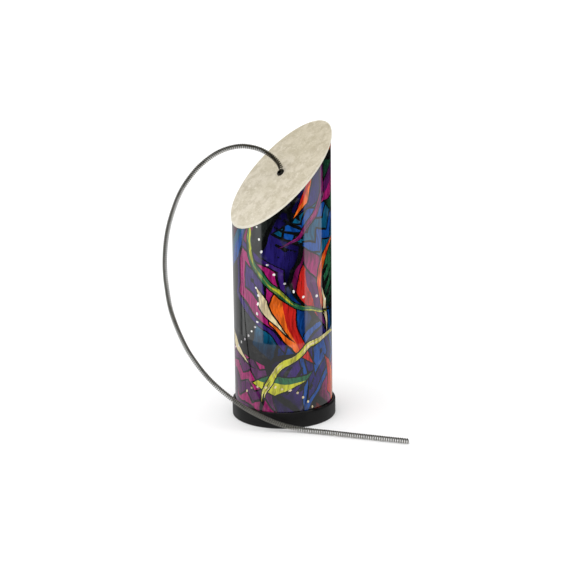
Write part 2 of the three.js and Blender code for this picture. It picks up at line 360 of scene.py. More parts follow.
def finish_piece(piece, material, node, body):
    fresh_start()
    piece.select_set(True)
    bpy.context.view_layer.objects.active = piece
    bpy.ops.object.transform_apply(location=True, rotation=True, scale=True)
    bpy.ops.object.shade_smooth_by_angle(angle=SMOOTH_ANGLE)
    piece.data.materials.clear()
    piece.data.materials.append(material)
    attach(piece, body)
    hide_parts(node)
    piece.select_set(False)
    print(piece.name, "replaces", node, "with", len(piece.data.polygons), "faces")


# %% [markdown]
# ## Helpers for materials
# A procedural material is a chain of small nodes. These helpers add a node, set or link its
# inputs, and hand back the output, so that a material below reads from its pattern to its shader.
# They all write into one node tree, the one that was started last. Colours are written as 0 to 255
# as on a screen, and turned into the linear values Blender uses.

# %% Node helpers
MIX_FACTOR, MIX_BELOW, MIX_ABOVE = 0, 6, 7
MIX_RESULT = 2


def paint(red, green, blue):
    parts = [value / 255 for value in (red, green, blue)]
    linear = [c / 12.92 if c <= 0.04045 else ((c + 0.055) / 1.055) ** 2.4 for c in parts]
    return (*linear, 1)


def plug(socket, value):
    if isinstance(value, bpy.types.NodeSocket):
        tree.links.new(value, socket)
    else:
        socket.default_value = value


def add_node(kind, inputs, **settings):
    node = tree.nodes.new("ShaderNode" + kind)
    for name, value in settings.items():
        setattr(node, name, value)
    for name, value in inputs.items():
        plug(node.inputs[name], value)
    return node


def calc(operation, *values):
    return add_node("Math", dict(enumerate(values)), operation=operation).outputs[0]


def both(one, other):
    return calc("MULTIPLY", one, other)


def plus(one, other):
    return calc("ADD", one, other)


def span_of(one, other):
    return calc("SQRT", plus(both(one, one), both(other, other)))


def under(value, limit):
    return calc("LESS_THAN", value, limit)


def over(value, limit):
    return calc("GREATER_THAN", value, limit)


def vector(operation, *values):
    node = add_node("VectorMath", dict(enumerate(values)), operation=operation)
    return node.outputs["Value" if operation == "DOT_PRODUCT" else "Vector"]


def axes_of(place):
    return add_node("SeparateXYZ", {0: place}).outputs


def mix(factor, below, above, mode="MIX"):
    inputs = {MIX_FACTOR: factor, MIX_BELOW: below, MIX_ABOVE: above}
    return add_node("Mix", inputs, data_type="RGBA", blend_type=mode).outputs[MIX_RESULT]


# %% Pattern helpers
def soft_step(value, low, high):
    inputs = {"Value": value, "From Min": low, "From Max": high}
    return add_node("MapRange", inputs, interpolation_type="SMOOTHSTEP").outputs[0]


def spread(value, low, high, to_low, to_high):
    inputs = {"Value": value, "From Min": low, "From Max": high, "To Min": to_low, "To Max": to_high}
    return add_node("MapRange", inputs).outputs[0]


def stretch(place, scale, turn=(0, 0, 0)):
    inputs = {"Vector": place, "Scale": scale, "Rotation": turn}
    return add_node("Mapping", inputs).outputs[0]


def noise(place, scale, detail=4, roughness=0.55, distortion=0.0):
    inputs = {"Vector": place, "Scale": scale, "Detail": detail, "Roughness": roughness}
    inputs["Distortion"] = distortion
    return add_node("TexNoise", inputs).outputs[0]


def ramp(factor, stops):
    node = add_node("ValToRGB", {0: factor})
    bar = node.color_ramp
    bar.interpolation = "CONSTANT"
    while len(bar.elements) < len(stops):
        bar.elements.new(1)
    for element, (position, colour) in zip(bar.elements, stops):
        element.position = position
        element.color = colour
    return node.outputs[0]


# %% Finish helpers
def new_finish(name, **values):
    global tree
    material = bpy.data.materials.new(name)
    material.use_nodes = True
    tree = material.node_tree
    inputs = tree.nodes["Principled BSDF"].inputs
    for label, value in values.items():
        inputs[label.replace("_", " ")].default_value = value
    return material, inputs, add_node("TexCoord", {}).outputs["Object"]


def dress(inputs, colour, roughness, height, depth, strength):
    relief = {"Height": height, "Distance": depth, "Strength": strength}
    plug(inputs["Base Color"], colour)
    plug(inputs["Roughness"], roughness)
    plug(inputs["Normal"], add_node("Bump", relief).outputs[0])


print("helpers ready")

# %% [markdown]
# ## Spring: its steel
# The wire is plain spring steel with a thin film of oil, and a noise adds patches of dirt. The sides of
# the wire, between the turns, are painted dark as painted shade, and only its crown, the side that faces
# out of the coil, keeps the steel colour. That makes the ribs. The stretch on the table is painted a
# little lighter than the arch, as painted light, and the first stretch out of the head is painted
# darkest.

# %% Spring finish
steel, inputs, place = new_finish("oiled_spring_steel", Metallic=0.7)
crown = add_node("Attribute", {}, attribute_name="crown").outputs["Fac"]
axes = axes_of(place)
above_head = soft_step(axes[2], 200 * MM, 240 * MM)
near_head = both(soft_step(axes[0], -60 * MM, -15 * MM), above_head)
grime = noise(place, 900, detail=4, roughness=0.7)
# Painted light: the stretch on the table is painted a little lighter than the arch.
wire_grime_and_shade = mix(soft_step(axes[2], 8 * MM, 80 * MM), paint(172, 170, 162), paint(160, 158, 150))
wire_grime_and_shade = mix(soft_step(grime, 0.5, 0.8), wire_grime_and_shade, paint(104, 99, 88))
# Painted shade: the sides of the wire, between the turns, are painted dark; only the crown keeps the
# steel colour.
wire_grime_and_shade = mix(soft_step(crown, 0.2, 0.95), paint(80, 78, 73), wire_grime_and_shade)
# The first stretch out of the head is painted darkest.
wire_grime_and_shade = mix(near_head, wire_grime_and_shade, paint(78, 74, 62))
dress(inputs, wire_grime_and_shade, spread(grime, 0.3, 0.8, 0.22, 0.44), grime, 0.02 * MM, 0.4)

finish_piece(coil_spring, steel, "spring", "spring")
print("spring declared as", round(spring_length, 3), "m of coil")

# %% [markdown]
# ## Fibre tube
# The shell is wound paper board, soaked in resin. It shows from below, inside the tube, and as a
# thin line where the film's ends meet. A long cylinder without caps gets its wall from Solidify,
# inwards from the outside radius, and only then the slanted plane cuts it. The other way round, the
# wall of a slanted rim would not lie in the plane of the cut.

# %% Slanted sleeves: the tube and the glue line are made in the same way
SLEEVE_COLUMNS = 180
SLEEVE_LENGTH = 0.45
SLEEVE_BELOW = 0.05


def level_point(level):
    return head_centre + head_normal * level


def open_tube(name, radius, columns, turn):
    fresh_start()
    bpy.ops.mesh.primitive_cylinder_add(
        vertices=columns, radius=radius, depth=SLEEVE_LENGTH, end_fill_type="NOTHING",
        location=(0, 0, SLEEVE_LENGTH / 2 - SLEEVE_BELOW), rotation=(0, 0, turn),
    )
    return settled(name)


def cut_between(piece, foot, foot_normal, top_level):
    bpy.context.view_layer.objects.active = piece
    edit()
    bpy.ops.mesh.bisect(
        plane_co=level_point(top_level), plane_no=head_normal, use_fill=True, clear_outer=True,
    )
    select_everything()
    bpy.ops.mesh.bisect(plane_co=foot, plane_no=foot_normal, use_fill=True, clear_inner=True)
    leave_edit()


def slanted_sleeve(name, foot, foot_normal, top_level):
    piece = open_tube(name, SHELL_RADIUS, SLEEVE_COLUMNS, 0)
    apply_modifier(piece, "SOLIDIFY", thickness=SHELL_RADIUS - BORE_RADIUS, offset=-1)
    cut_between(piece, foot, foot_normal, top_level)
    return piece


fibre_tube = slanted_sleeve("fibre_tube", (0, 0, TUBE_FOOT), (0, 0, 1), SHELL_TOP)
glue_line = slanted_sleeve("glue_line", level_point(BOND_UNDERSIDE), head_normal, BOND_TOP)
print("tube and glue line cut")

# %% Fibre finish
STRIP_RISE = 60 * MM
STRIP_JOINT = 0.012

board, inputs, place = new_finish("wound_paper_board")
axes = axes_of(place)
around = calc("ARCTAN2", axes[1], axes[0])
climb = calc("MULTIPLY_ADD", axes[2], 1 / STRIP_RISE, calc("DIVIDE", around, 2 * math.pi))
joint = under(calc("FRACT", climb), STRIP_JOINT)
fibres = noise(stretch(place, (240, 240, 900)), 1.0, detail=6, roughness=0.7)
flecks = noise(place, 2600, detail=2)
brown = mix(soft_step(fibres, 0.3, 0.7), paint(112, 78, 48), paint(160, 122, 82))
brown = mix(soft_step(flecks, 0.6, 0.75), brown, paint(182, 148, 108))
brown = mix(joint, brown, paint(66, 44, 28))
groove = calc("SUBTRACT", fibres, both(joint, 2.0))
dress(inputs, brown, spread(fibres, 0.3, 0.7, 0.62, 0.82), groove, 0.15 * MM, 0.6)
finish_piece(fibre_tube, board, "shell", "drum")

# %% Glue finish
glue, inputs, place = new_finish("amber_glue")
cloud = noise(place, 180, detail=3)
beads = noise(place, 700, detail=2)
amber = mix(soft_step(cloud, 0.3, 0.7), paint(188, 150, 88), paint(216, 190, 138))
dress(inputs, amber, spread(beads, 0.3, 0.7, 0.2, 0.42), beads, 0.2 * MM, 0.7)
finish_piece(glue_line, glue, "head_bond", "drum")

# %% [markdown]
# ## Foot ring
# A moulded rubber ring round the bottom of the tube, with a lip that the tube stands on. It is the
# same all the way round, so only its section is modelled: a small square is pulled out into an L,
# its outer corners are rounded, and the outline is spun about the tube's axis.

# %% Spun pieces
def start_section(name, inner, bottom, side):
    fresh_start()
    bpy.ops.mesh.primitive_plane_add(
        size=side, location=(inner + side / 2, 0, bottom + side / 2), rotation=(math.pi / 2, 0, 0),
    )
    piece = settled(name)
    edit()
    return piece


def pull_edge(at, shift):
    pick_near("edges", [(at[0], 0, at[1])])
    bpy.ops.mesh.extrude_region_move(TRANSFORM_OT_translate={"value": (shift[0], 0, shift[1])})


def move_edge(at, shift):
    pick_near("edges", [(at[0], 0, at[1])])
    bpy.ops.transform.translate(value=(shift[0], 0, shift[1]))


def round_corners(places, radius, segments):
    pick_near("verts", [(across, 0, up) for across, up in places])
    bpy.ops.mesh.bevel(offset=radius, segments=segments, affect="VERTICES")


def join_section():
    bpy.ops.mesh.select_mode(type="FACE")
    select_everything()
    bpy.ops.mesh.dissolve_faces()


def spin_section(steps):
    bpy.ops.mesh.select_mode(type="EDGE")
    select_everything()
    bpy.ops.mesh.delete(type="ONLY_FACE")
    select_everything()
    bpy.ops.mesh.spin(steps=steps, angle=2 * math.pi, center=(0, 0, 0), axis=(0, 0, 1))
    select_everything()
    bpy.ops.mesh.remove_doubles(threshold=0.001 * MM)
    bpy.ops.mesh.normals_make_consistent(inside=False)
    leave_edit()


print("spin helpers ready")

# %% Foot ring
RING_BORE = 51.1 * MM
RING_RADIUS = 53.9 * MM
RING_HEIGHT = 17 * MM
RING_LIP = 3 * MM
RING_TOP_ROUNDING = 2.2 * MM
RING_FOOT_ROUNDING = 1 * MM
LIP_ROUNDING = 0.5 * MM
RING_STEPS = 160

ring_wall = RING_RADIUS - RING_BORE
ring_middle = (RING_BORE + RING_RADIUS) / 2
rubber_foot = start_section("rubber_foot", RING_BORE, RING_LIP - ring_wall, ring_wall)
move_edge((ring_middle, RING_LIP - ring_wall), (0, ring_wall - RING_LIP))
pull_edge((RING_BORE, RING_LIP / 2), (BORE_RADIUS - RING_BORE, 0))
pull_edge((ring_middle, RING_LIP), (0, RING_HEIGHT - RING_LIP))
join_section()
round_corners([(RING_RADIUS, RING_HEIGHT)], RING_TOP_ROUNDING, segments=8)
round_corners([(RING_RADIUS, 0)], RING_FOOT_ROUNDING, segments=5)
inner_corners = [(RING_BORE, RING_HEIGHT), (BORE_RADIUS, 0), (BORE_RADIUS, RING_LIP)]
round_corners(inner_corners, LIP_ROUNDING, segments=3)
spin_section(RING_STEPS)

# %% Rubber finish
rubber, inputs, place = new_finish("satin_black_rubber", Specular_IOR_Level=0.34)
dust = noise(place, 120, detail=5, roughness=0.65)
skin = noise(place, 3200, detail=3, roughness=0.6)
axes = axes_of(place)
upper = soft_step(axes[2], RING_HEIGHT - 1.6 * MM, RING_HEIGHT - 0.2 * MM)
lower = soft_step(axes[2], 2.2 * MM, 0.2 * MM)
worn = both(plus(upper, lower), soft_step(dust, 0.35, 0.65))
black = mix(soft_step(dust, 0.35, 0.75), paint(12, 12, 12), paint(21, 20, 20))
black = mix(both(worn, 0.6), black, paint(52, 51, 50))
dress(inputs, black, spread(dust, 0.3, 0.75, 0.40, 0.58), skin, 0.03 * MM, 0.5)
finish_piece(rubber_foot, rubber, "foot_ring", "drum")

# %% [markdown]
# ## Eyelet, washer and pin
# The eyelet is a black flanged tube, set through the head and held by a washer below. The cross pin
# lies under it, up and down the slope, and the spring hooks round it. The eyelet and the washer are
# spun like the foot ring, then placed with the matrix of the head. The pin is a cylinder
# with its two end edges bevelled.

# %% Eyelet
EYELET_BORE = 2.869 * MM
EYELET_RADIUS = 3.269 * MM
FLANGE_RADIUS = 4.069 * MM
FLANGE_BOTTOM = 0.3 * MM
FLANGE_ROUNDING = 0.78 * MM
BORE_ROUNDING = 0.35 * MM
SMALL_STEPS = 64

eyelet_wall = EYELET_RADIUS - EYELET_BORE
eyelet_middle = (EYELET_BORE + EYELET_RADIUS) / 2
black_eyelet = start_section("black_eyelet", EYELET_BORE, FLANGE_BOTTOM, eyelet_wall)
top_gain = FLANGE_TOP - FLANGE_BOTTOM - eyelet_wall
move_edge((eyelet_middle, FLANGE_BOTTOM + eyelet_wall), (0, top_gain))
pull_edge((EYELET_RADIUS, (FLANGE_BOTTOM + FLANGE_TOP) / 2), (FLANGE_RADIUS - EYELET_RADIUS, 0))
pull_edge((eyelet_middle, FLANGE_BOTTOM), (0, WASHER_UNDERSIDE - FLANGE_BOTTOM))
join_section()
round_corners([(FLANGE_RADIUS, FLANGE_TOP)], FLANGE_ROUNDING, segments=8)
round_corners([(EYELET_BORE, FLANGE_TOP)], BORE_ROUNDING, segments=5)
spin_section(SMALL_STEPS)
black_eyelet.matrix_world = head_frame

enamel, inputs, place = new_finish("black_enamel")
scuffs = noise(place, 1400, detail=4, roughness=0.7)
dark = mix(soft_step(scuffs, 0.5, 0.8), paint(20, 20, 19), paint(44, 42, 38))
dress(inputs, dark, spread(scuffs, 0.3, 0.8, 0.28, 0.55), scuffs, 0.02 * MM, 0.4)
finish_piece(black_eyelet, enamel, "eyelet", "drum")

# %% Washer
WASHER_BORE = 3.569 * MM
WASHER_RADIUS = 5.969 * MM
WASHER_THICKNESS = 0.6 * MM
WASHER_ROUNDING = 0.12 * MM

washer_level = WASHER_UNDERSIDE + WASHER_THICKNESS / 2
steel_washer = start_section("steel_washer", WASHER_BORE, WASHER_UNDERSIDE, WASHER_THICKNESS)
first_width = WASHER_BORE + WASHER_THICKNESS
pull_edge((first_width, washer_level), (WASHER_RADIUS - first_width, 0))
join_section()
faces = (WASHER_UNDERSIDE, WASHER_UNDERSIDE + WASHER_THICKNESS)
washer_corners = [(across, up) for across in (WASHER_BORE, WASHER_RADIUS) for up in faces]
round_corners(washer_corners, WASHER_ROUNDING, segments=2)
spin_section(SMALL_STEPS)
steel_washer.matrix_world = head_frame

zinc, inputs, place = new_finish("dull_zinc_steel", Metallic=1.0)
spangle = add_node("TexVoronoi", {"Vector": place, "Scale": 900}).outputs["Color"]
stain = noise(place, 420, detail=4)
grey = mix(0.12, paint(150, 150, 146), spangle, "OVERLAY")
grey = mix(soft_step(stain, 0.5, 0.75), grey, paint(112, 108, 98))
dress(inputs, grey, spread(stain, 0.3, 0.7, 0.3, 0.5), stain, 0.03 * MM, 0.4)
finish_piece(steel_washer, zinc, "eyelet_washer", "drum")

# %% Pin
PIN_RADIUS = 0.6 * MM
PIN_LENGTH = 9.537 * MM
PIN_CHAMFER = 0.2 * MM

fresh_start()
bpy.ops.mesh.primitive_cylinder_add(vertices=32, radius=PIN_RADIUS, depth=PIN_LENGTH)
hook_pin = named("hook_pin")
edit()
pick("edges", lambda at: abs(at.z) > PIN_LENGTH / 2 - 0.01 * MM)
bpy.ops.mesh.bevel(offset=PIN_CHAMFER, segments=3, affect="EDGES")
leave_edit()
pin_turn = Matrix.Rotation(math.pi / 2, 4, "Y")
hook_pin.matrix_world = head_frame @ Matrix.Translation((0, 0, PIN_LEVEL)) @ pin_turn

drawn, inputs, place = new_finish("drawn_steel_pin", Metallic=1.0)
draw_lines = noise(stretch(place, (300, 6000, 300), (0, HEAD_SLANT, 0)), 1.0, detail=3)
bright = mix(soft_step(draw_lines, 0.35, 0.7), paint(150, 148, 140), paint(104, 102, 94))
dress(inputs, bright, spread(draw_lines, 0.3, 0.7, 0.24, 0.42), draw_lines, 0.02 * MM, 0.4)
finish_piece(hook_pin, drawn, "spring_pin", "anchor")

# %% [markdown]
# ## Head
# The head is a thin, stiff sheet of pressed fibre, glued on, with its edge turned down over the
# film. A full cylinder is sliced by two slanted planes into a slanted disc. Its underside is inset
# and pushed up, which leaves the turned edge, the upper rim is bevelled, and a round bar cuts the
# hole for the eyelet by a Boolean, because a hole square to a slanted face is hard to draw in it.

# %% Head
HEAD_RADIUS = 51.8 * MM
SKIRT_BORE = 51.1 * MM
SKIRT_DROP = 2 * MM
HEAD_ROUNDING = 0.3 * MM
HEAD_HOLE = 3.569 * MM
PUNCH_LENGTH = 20 * MM
HEAD_COLUMNS = 240

fresh_start()
bpy.ops.mesh.primitive_cylinder_add(
    vertices=HEAD_COLUMNS, radius=HEAD_RADIUS, depth=SLEEVE_LENGTH, end_fill_type="NGON",
    location=(0, 0, SLEEVE_LENGTH / 2),
)
head_film = settled("head_film")
hem_level = -SKIRT_DROP * math.cos(HEAD_SLANT)
cut_between(head_film, level_point(hem_level), head_normal, 0)
print("slanted disc:", len(head_film.data.polygons), "faces")


# %% Turned edge and rim of the head
def level_of(at):
    return (at - head_centre).dot(head_normal)


def axis_distance(at):
    return math.hypot(at.x, at.y)


edit()
pick("faces", lambda at: level_of(at) < hem_level + 0.01 * MM)
bpy.ops.mesh.extrude_region_move(TRANSFORM_OT_translate={"value": (0, 0, 0)})
narrowing = SKIRT_BORE / HEAD_RADIUS
shape = bmesh.from_edit_mesh(head_film.data)
for vert in (vert for vert in shape.verts if vert.select):
    along = vert.co - level_point(hem_level)
    vert.co = level_point(hem_level) + along * narrowing
bmesh.update_edit_mesh(head_film.data)
push = (HEAD_UNDERSIDE - hem_level) / math.cos(HEAD_SLANT)
bpy.ops.mesh.extrude_region_move(TRANSFORM_OT_translate={"value": (0, 0, push)})
pick("edges", lambda at: level_of(at) > -0.01 * MM and axis_distance(at) > HEAD_RADIUS - 0.1 * MM)
bpy.ops.mesh.bevel(offset=HEAD_ROUNDING, segments=3, affect="EDGES")
leave_edit()
print("turned edge:", len(head_film.data.polygons), "faces")

# %% Hole in the head
fresh_start()
bpy.ops.mesh.primitive_cylinder_add(vertices=SMALL_STEPS, radius=HEAD_HOLE, depth=PUNCH_LENGTH)
punch = bpy.context.object
punch.matrix_world = head_frame
bpy.context.view_layer.update()
apply_modifier(head_film, "BOOLEAN", object=punch, operation="DIFFERENCE", solver="EXACT")
bpy.data.objects.remove(punch)
print("punched head:", len(head_film.data.polygons), "faces")

# %% [markdown]
# ## Head: its pressed fibre
# Seen close, the head is cream with grey-green clouds under a centimetre across, pale dabs and short
# pale fibres lying every way. Three noises make the clouds and dabs. The fibres are thin lines where a
# warped noise crosses its middle value. The face is painted lighter at the lower end of the slope and
# darker at the upper end as painted light, and the turned edge is painted paler as a painted highlight.

# %% Head finish
HEAD_LOWER_PAINTED_LIGHT = (1.10, 1.10, 1.15, 1)
HEAD_UPPER_PAINTED_SHADE = (0.91, 0.89, 0.86, 1)

fibre_sheet, inputs, place = new_finish("pressed_fibre_sheet", Specular_IOR_Level=0.3)
clouds = noise(place, 115, detail=4, roughness=0.55, distortion=0.4)
wide_clouds = noise(place, 30, detail=3)
specks = noise(place, 1100, detail=3, roughness=0.7)
dabs = noise(place, 280, detail=2)
cream = mix(soft_step(clouds, 0.36, 0.64), paint(181, 172, 148), paint(207, 199, 179))
cream = mix(both(soft_step(wide_clouds, 0.35, 0.65), 0.55), cream, paint(188, 180, 154))
cream = mix(both(soft_step(specks, 0.55, 0.75), 0.25), cream, paint(148, 142, 118))
cream = mix(both(soft_step(dabs, 0.58, 0.7), 0.4), cream, paint(226, 220, 203))
fibre_height = 0.0
for number, turn in enumerate((0.3, 1.3, 2.4)):
    lie = stretch(place, (300, 70, 300), (0.0, HEAD_SLANT, turn))
    bent = noise(lie, 1.0 + 0.13 * number, detail=2, distortion=1.6)
    apart = calc("ABSOLUTE", calc("SUBTRACT", bent, 0.5))
    thread = soft_step(apart, 0.024, 0.004)
    cream = mix(both(thread, 0.3), cream, paint(224, 218, 202))
    fibre_height = plus(fibre_height, thread)
axes = axes_of(place)
radius = span_of(axes[0], axes[1])
# Painted light: the face is painted lighter at the lower end of the slope and darker at the upper end.
slope = spread(axes[0], -45 * MM, 45 * MM, 0, 1)
cream = mix(1.0, cream, mix(slope, HEAD_LOWER_PAINTED_LIGHT, HEAD_UPPER_PAINTED_SHADE), "MULTIPLY")
# Painted highlight: the turned edge is painted paler than the face.
edge = soft_step(radius, HEAD_RADIUS - 1.0 * MM, HEAD_RADIUS - 0.3 * MM)
cream = mix(both(edge, 0.6), cream, paint(226, 222, 208))
relief = plus(fibre_height, both(clouds, 0.8))
dress(inputs, cream, spread(clouds, 0.3, 0.7, 0.5, 0.66), relief, 0.05 * MM, 0.5)
finish_piece(head_film, fibre_sheet, "drumhead", "drum")

# %% [markdown]
# ## Printed film
# A glossy printed film goes once round the tube, and its two ends meet at a narrow open seam at the
# back. One column of a fine cylinder's faces is deleted for the seam, Solidify gives the film its
# thickness, and the slanted plane cuts it. Its own UV map is laid out as the film was printed, flat:
# distance round the tube from the seam, and height.

# %% Film
SEAM_ANGLE = math.radians(60)
FILM_COLUMNS = 400
FILM_THICKNESS = 0.5 * MM

column_turn = 2 * math.pi / FILM_COLUMNS
film_turn = SEAM_ANGLE - column_turn / 2 - math.pi / 2
print_film = open_tube("print_film", FILM_RADIUS, FILM_COLUMNS, film_turn)


def from_seam(at):
    return (math.atan2(at.y, at.x) - SEAM_ANGLE) % (2 * math.pi)


edit()
pick("faces", lambda at: min(from_seam(at), 2 * math.pi - from_seam(at)) < column_turn / 4)
bpy.ops.mesh.delete(type="FACE")
leave_edit()
flat_map = print_film.data.uv_layers.active
flat_map.name = "flat_print"
for loop in print_film.data.loops:
    spot = print_film.data.vertices[loop.vertex_index].co
    flat_map.data[loop.index].uv = (from_seam(spot) * FILM_RADIUS, spot.z)
apply_modifier(print_film, "SOLIDIFY", thickness=FILM_THICKNESS, offset=-1)
cut_between(print_film, (0, 0, TUBE_FOOT), (0, 0, 1), BOND_TOP)
print("film:", len(print_film.data.polygons), "faces")

# %% [markdown]
# ## Print: motifs
# The print is brush work in strong colours with dark outlines. An image would need a file, so it is
# drawn with nodes. Each motif is one node group that takes the colours below it and paints over
# them: a shard, a swept brush line, a zigzag panel, a nest of kites, a row of dots and a patch of
# hatching. A group is built once and used for as many motifs as needed.

# %% Motif groups: their common start
INK = paint(11, 12, 12)
MOTIF_SOCKETS = {
    "Below": "NodeSocketColor", "Place": "NodeSocketVector", "Centre": "NodeSocketVector",
    "Turn": "NodeSocketVector", "Size": "NodeSocketVector", "Line": "NodeSocketFloat",
    "First": "NodeSocketColor", "Second": "NodeSocketColor",
}


def start_motif(name):
    global tree
    tree = bpy.data.node_groups.new(name, "ShaderNodeTree")
    for label, kind in MOTIF_SOCKETS.items():
        tree.interface.new_socket(name=label, in_out="INPUT", socket_type=kind)
    tree.interface.new_socket(name="Colour", in_out="OUTPUT", socket_type="NodeSocketColor")
    given = tree.nodes.new("NodeGroupInput").outputs
    inputs = {"Vector": given["Place"], "Location": given["Centre"]}
    inputs.update({"Rotation": given["Turn"], "Scale": given["Size"]})
    local = add_node("Mapping", inputs, vector_type="TEXTURE").outputs[0]
    return given, *axes_of(local)[:2]


def end_motif(colour):
    plug(tree.nodes.new("NodeGroupOutput").inputs["Colour"], colour)
    return tree


print("motifs take", ", ".join(MOTIF_SOCKETS))


# %% Shard: a long bent kite in two tones
SHARD_BOW = 0.5
SHARD_SHOULDER = -0.35


def shard_motif():
    given, x, y = start_motif("shard")
    bow = calc("MULTIPLY_ADD", both(x, x), -SHARD_BOW, y)
    across = calc("ABSOLUTE", bow)
    rise = calc("DIVIDE", plus(x, 1.0), 1 + SHARD_SHOULDER)
    fall = calc("DIVIDE", calc("SUBTRACT", 1.0, x), 1 - SHARD_SHOULDER)
    width = calc("MINIMUM", rise, fall)
    outline = under(across, plus(width, given["Line"]))
    facet = over(calc("MULTIPLY_ADD", x, 0.4, bow), 0.0)
    colour = mix(outline, given["Below"], INK)
    tone = mix(facet, given["First"], given["Second"])
    return end_motif(mix(under(across, width), colour, tone))


# %% Sweep and dots: marks along part of a circle
SWEEP_ANGLE = 0.95
DOT_SPACING = 2 * math.pi / 44


def sweep_motif():
    given, x, y = start_motif("sweep")
    out = plus(span_of(x, y), -1.0)
    angle = calc("DIVIDE", calc("ARCTAN2", y, x), SWEEP_ANGLE)
    swell = calc("SUBTRACT", 1.0, both(angle, angle))
    bristle_place = add_node("CombineXYZ", {0: angle, 1: out, 2: given["Line"]}).outputs[0]
    bristles = noise(stretch(bristle_place, (3.0, 30.0, 40.0)), 1.0, detail=2)
    edge = both(swell, given["Line"])
    across = calc("ABSOLUTE", out)
    wet = over(bristles, spread(angle, 0.1, 1.0, 0.1, 0.62))
    colour = mix(under(across, both(edge, 1.5)), given["Below"], INK)
    tone = mix(soft_step(bristles, 0.42, 0.58), given["Second"], given["First"])
    return end_motif(mix(both(under(across, edge), wet), colour, tone))


def dots_motif():
    given, x, y = start_motif("dots")
    radius = span_of(x, y)
    angle = calc("ARCTAN2", y, x)
    step = plus(calc("FRACT", calc("DIVIDE", angle, DOT_SPACING)), -0.5)
    aside = both(both(step, DOT_SPACING), radius)
    out = plus(radius, -1.0)
    apart = span_of(aside, out)
    shown = under(calc("ABSOLUTE", angle), SWEEP_ANGLE)
    dot = both(under(apart, given["Line"]), shown)
    return end_motif(mix(dot, given["Below"], given["First"]))


# %% Zigzag panel, nested kites and hatching
BAND_INK = 0.2
ZIGZAG_BANDS = 1.9
ZIGZAG_TEETH = 1.8
ZIGZAG_DEPTH = 0.8
ZIGZAG_LEAN = 0.45
KITE_BANDS = 2.6
KITE_TAIL = 0.6
HATCH_STROKES = 2.6
HATCH_REACH = 1.7
HATCH_RAGGED = 1.6
HATCH_THICK = 0.38
HATCH_TAPER = 0.2


def banded(given, level, reach):
    odd = calc("PINGPONG", calc("FLOOR", level), 1.0)
    fill = mix(odd, given["First"], given["Second"])
    fill = mix(under(calc("FRACT", level), BAND_INK), fill, INK)
    outline = under(reach, plus(given["Line"], 1.0))
    return mix(under(reach, 1.0), mix(outline, given["Below"], INK), fill)


def zigzag_motif():
    given, x, y = start_motif("zigzag")
    teeth = calc("PINGPONG", both(x, ZIGZAG_TEETH), ZIGZAG_DEPTH)
    level = calc("MULTIPLY_ADD", y, ZIGZAG_BANDS, teeth)
    leaning = calc("MULTIPLY_ADD", y, ZIGZAG_LEAN, x)
    reach = calc("MAXIMUM", calc("ABSOLUTE", leaning), calc("ABSOLUTE", y))
    return end_motif(banded(given, level, reach))


def kites_motif():
    given, x, y = start_motif("kites")
    lower = both(y, -KITE_TAIL)
    reach = plus(calc("ABSOLUTE", x), calc("MAXIMUM", y, lower))
    return end_motif(banded(given, both(reach, KITE_BANDS), reach))


def hatch_motif():
    given, x, y = start_motif("hatch")
    ragged = noise(given["Place"], 1.3, detail=2)
    reach = calc("MULTIPLY_ADD", ragged, -HATCH_RAGGED, HATCH_REACH)
    thick = calc("MULTIPLY_ADD", y, -HATCH_TAPER, HATCH_THICK)
    stroke = under(calc("FRACT", both(x, HATCH_STROKES)), thick)
    room = under(plus(calc("ABSOLUTE", y), both(x, x)), reach)
    return end_motif(mix(both(stroke, room), given["Below"], given["First"]))


motif_groups = {
    "shard": shard_motif(), "sweep": sweep_motif(), "dots": dots_motif(),
    "zigzag": zigzag_motif(), "kites": kites_motif(), "hatch": hatch_motif(),
}
print(len(motif_groups), "motif groups")

# %% [markdown]
# ## Print: layout
# The film is laid out flat in centimetres: first across from the seam, then up. The middle of the
# list faces the camera, at about sixteen centimetres. Each row is a kind of motif, its centre, its
# turn in degrees, its half size, and its colours. Later rows are painted over earlier ones.

# %% Paints and layout
CREAM = paint(222, 206, 160)
WHITE = paint(236, 236, 230)
LIME = paint(190, 190, 44)
ORANGE = paint(232, 106, 30)
RED = paint(190, 34, 28)
MAGENTA = paint(160, 28, 104)
PLUM = paint(84, 24, 84)
PURPLE = paint(54, 28, 104)
INDIGO = paint(34, 26, 96)
BLUE = paint(14, 72, 146)
TEAL = paint(10, 84, 116)
GREEN = paint(36, 96, 62)
SOOT = paint(34, 38, 36)

